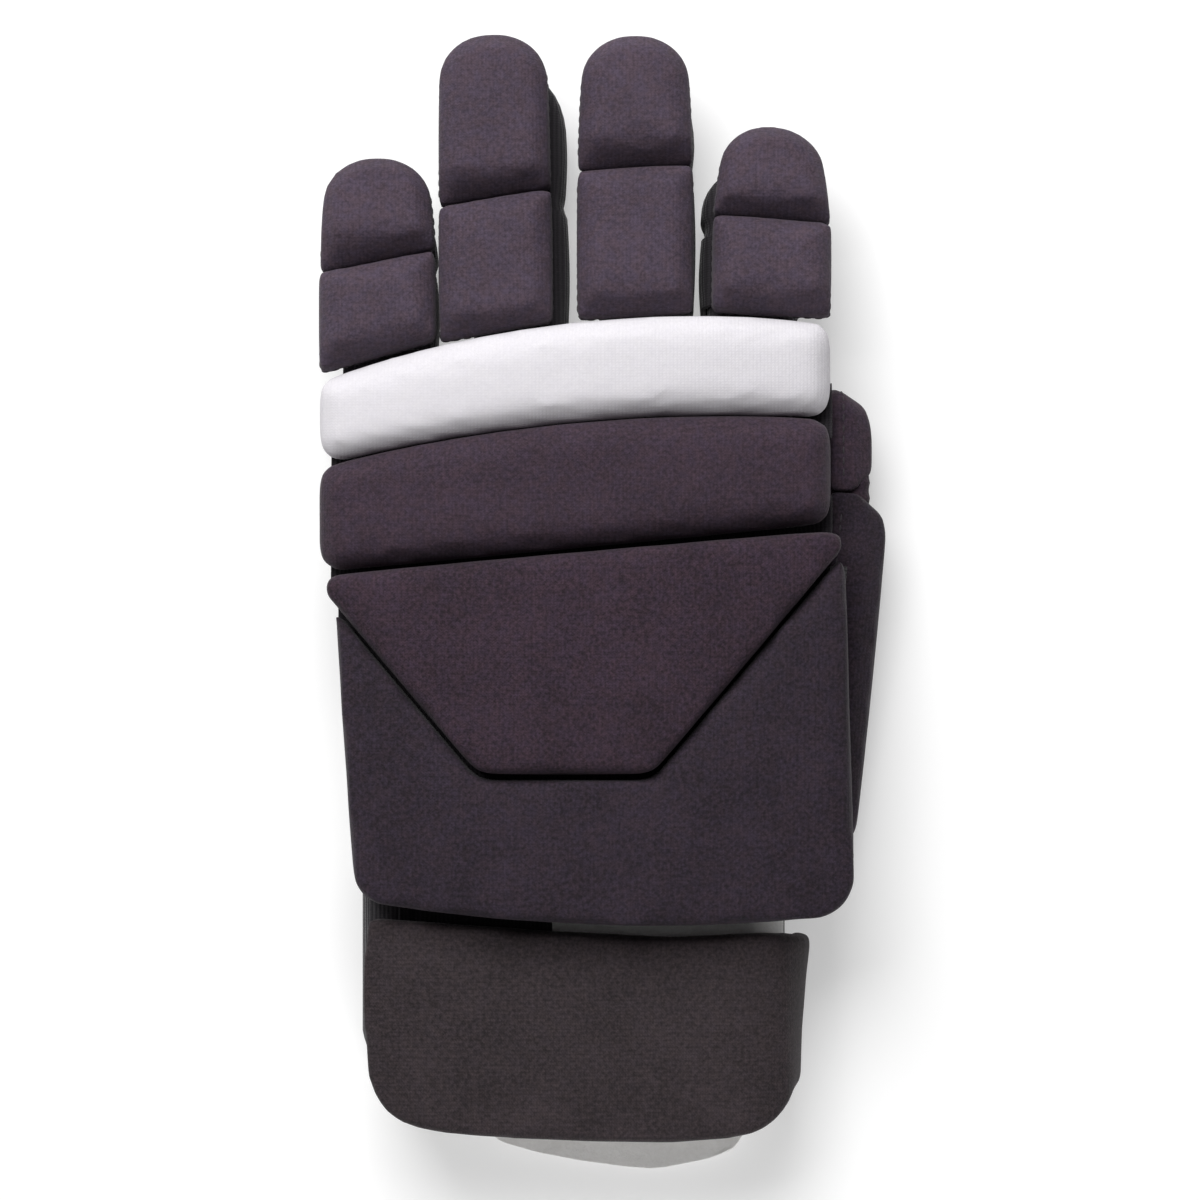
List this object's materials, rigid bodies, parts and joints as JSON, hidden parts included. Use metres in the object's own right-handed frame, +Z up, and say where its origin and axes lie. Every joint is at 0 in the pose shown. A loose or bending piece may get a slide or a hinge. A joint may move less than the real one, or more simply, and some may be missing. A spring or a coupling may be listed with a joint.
{
  "type": "padded field hockey glove",
  "caption": "Left-hand padded field hockey glove: foam pads on fingers, thumb and back of the hand, open palm with a strap, and a wrapped wrist cuff.",
  "frame": {"origin": "on the floor, in the middle of the underside of the palm strap", "axes": "+X across the hand towards the thumb, +Y towards the fingertips, +Z up out of the back of the hand"},
  "size_m": [0.1328, 0.2701, 0.0475],
  "materials": {
    "dark_jersey": "fine knitted jersey, matt",
    "white_jersey": "fine knitted jersey, matt",
    "dark_sleeve": "ribbed stretch knit, matt",
    "white_lining": "brushed lining",
    "elastic_web": "woven elastic",
    "hook_tape": "moulded hooks",
    "loop_tape": "napped loops",
    "foam": "closed-cell foam"
  },
  "bodies": {
    "hand": {"panel_cover": "dark_jersey", "panel_foam": "foam", "crest_cover": "dark_jersey", "crest_foam": "foam", "hand_lining": "white_lining", "palm_strap": "elastic_web", "thumb_web": "dark_sleeve", "wrist_gusset": "white_lining"},
    "dark_bar": {"dark_bar_cover": "dark_jersey", "dark_bar_foam": "foam", "dark_bar_lining": "white_lining"},
    "white_bar": {"white_bar_cover": "white_jersey", "white_bar_foam": "foam", "white_bar_lining": "white_lining"},
    "little_base": {"little_base_cover": "dark_jersey", "little_base_foam": "foam", "little_base_stall": "dark_sleeve"},
    "little_tip": {"little_tip_cover": "dark_jersey", "little_tip_foam": "foam", "little_tip_stall": "dark_sleeve"},
    "ring_base": {"ring_base_cover": "dark_jersey", "ring_base_foam": "foam", "ring_base_stall": "dark_sleeve"},
    "ring_tip": {"ring_tip_cover": "dark_jersey", "ring_tip_foam": "foam", "ring_tip_stall": "dark_sleeve"},
    "middle_base": {"middle_base_cover": "dark_jersey", "middle_base_foam": "foam", "middle_base_stall": "dark_sleeve"},
    "middle_tip": {"middle_tip_cover": "dark_jersey", "middle_tip_foam": "foam", "middle_tip_stall": "dark_sleeve"},
    "index_base": {"index_base_cover": "dark_jersey", "index_base_foam": "foam", "index_base_stall": "dark_sleeve"},
    "index_tip": {"index_tip_cover": "dark_jersey", "index_tip_foam": "foam", "index_tip_stall": "dark_sleeve"},
    "thumb_base": {"thumb_base_cover": "dark_jersey", "thumb_base_foam": "foam", "thumb_base_stall": "dark_sleeve"},
    "thumb_tip": {"thumb_tip_cover": "dark_jersey", "thumb_tip_foam": "foam", "thumb_tip_stall": "dark_sleeve"},
    "cuff": {"wrist_band": "dark_sleeve", "wrist_lining": "white_lining", "loop_patch": "loop_tape", "strap_anchor": "elastic_web"},
    "strap": {"strap_cover": "dark_jersey", "strap_foam": "foam", "hook_patch": "hook_tape"}
  },
  "joints": [
    {"name": "dark_bar_flex", "type": "hinge", "parent": "hand", "child": "dark_bar", "pos_m": [0, 0.0137, 0.02], "axis": [-0.9956, -0.0941, 0], "range_deg": [0, 8]},
    {"name": "white_bar_flex", "type": "hinge", "parent": "dark_bar", "child": "white_bar", "pos_m": [0, 0.04049, 0.02], "axis": [-0.9957, -0.0931, 0], "range_deg": [0, 12]},
    {"name": "little_knuckle", "type": "hinge", "parent": "white_bar", "child": "little_base", "pos_m": [-0.0528, 0.0575, 0.016], "axis": [-0.9999, -0.0105, 0], "range_deg": [0, 65]},
    {"name": "little_middle_joint", "type": "hinge", "parent": "little_base", "child": "little_tip", "pos_m": [-0.05301, 0.07788, 0.01183], "axis": [-0.9999, -0.0105, 0], "range_deg": [0, 90]},
    {"name": "ring_knuckle", "type": "hinge", "parent": "white_bar", "child": "ring_base", "pos_m": [-0.0248, 0.06403, 0.016], "axis": [-0.9999, -0.014, 0], "range_deg": [0, 65]},
    {"name": "ring_middle_joint", "type": "hinge", "parent": "ring_base", "child": "ring_tip", "pos_m": [-0.02522, 0.0942, 0.01236], "axis": [-0.9999, -0.014, 0], "range_deg": [0, 90]},
    {"name": "middle_knuckle", "type": "hinge", "parent": "white_bar", "child": "middle_base", "pos_m": [0.008, 0.06786, 0.016], "axis": [-1, 0, 0], "range_deg": [0, 65]},
    {"name": "middle_middle_joint", "type": "hinge", "parent": "middle_base", "child": "middle_tip", "pos_m": [0.008, 0.10108, 0.01168], "axis": [-1, 0, 0], "range_deg": [0, 90]},
    {"name": "index_knuckle", "type": "hinge", "parent": "white_bar", "child": "index_base", "pos_m": [0.0391, 0.06786, 0.016], "axis": [-0.9998, 0.0175, 0], "range_deg": [0, 65]},
    {"name": "index_middle_joint", "type": "hinge", "parent": "index_base", "child": "index_tip", "pos_m": [0.03944, 0.08755, 0.01153], "axis": [-0.9998, 0.0175, 0], "range_deg": [0, 90]},
    {"name": "thumb_spread", "type": "hinge", "parent": "hand", "child": "thumb_base", "pos_m": [0.054, -0.057, 0.0114], "axis": [0, 0, -1], "range_deg": [0, 35]},
    {"name": "thumb_bend", "type": "hinge", "parent": "thumb_base", "child": "thumb_tip", "pos_m": [0.047, 0.027, 0.0114], "axis": [0, 0, 1], "range_deg": [0, 50]},
    {"name": "wrist", "type": "hinge", "parent": "hand", "child": "cuff", "pos_m": [-0.00665, -0.066, 0.02], "axis": [1, 0, 0], "range_deg": [-4, 25]},
    {"name": "strap_opening", "type": "hinge", "parent": "cuff", "child": "strap", "pos_m": [0.0455, -0.1023, 0.008], "axis": [0, 1, 0], "range_deg": [0, 100]}
  ]
}
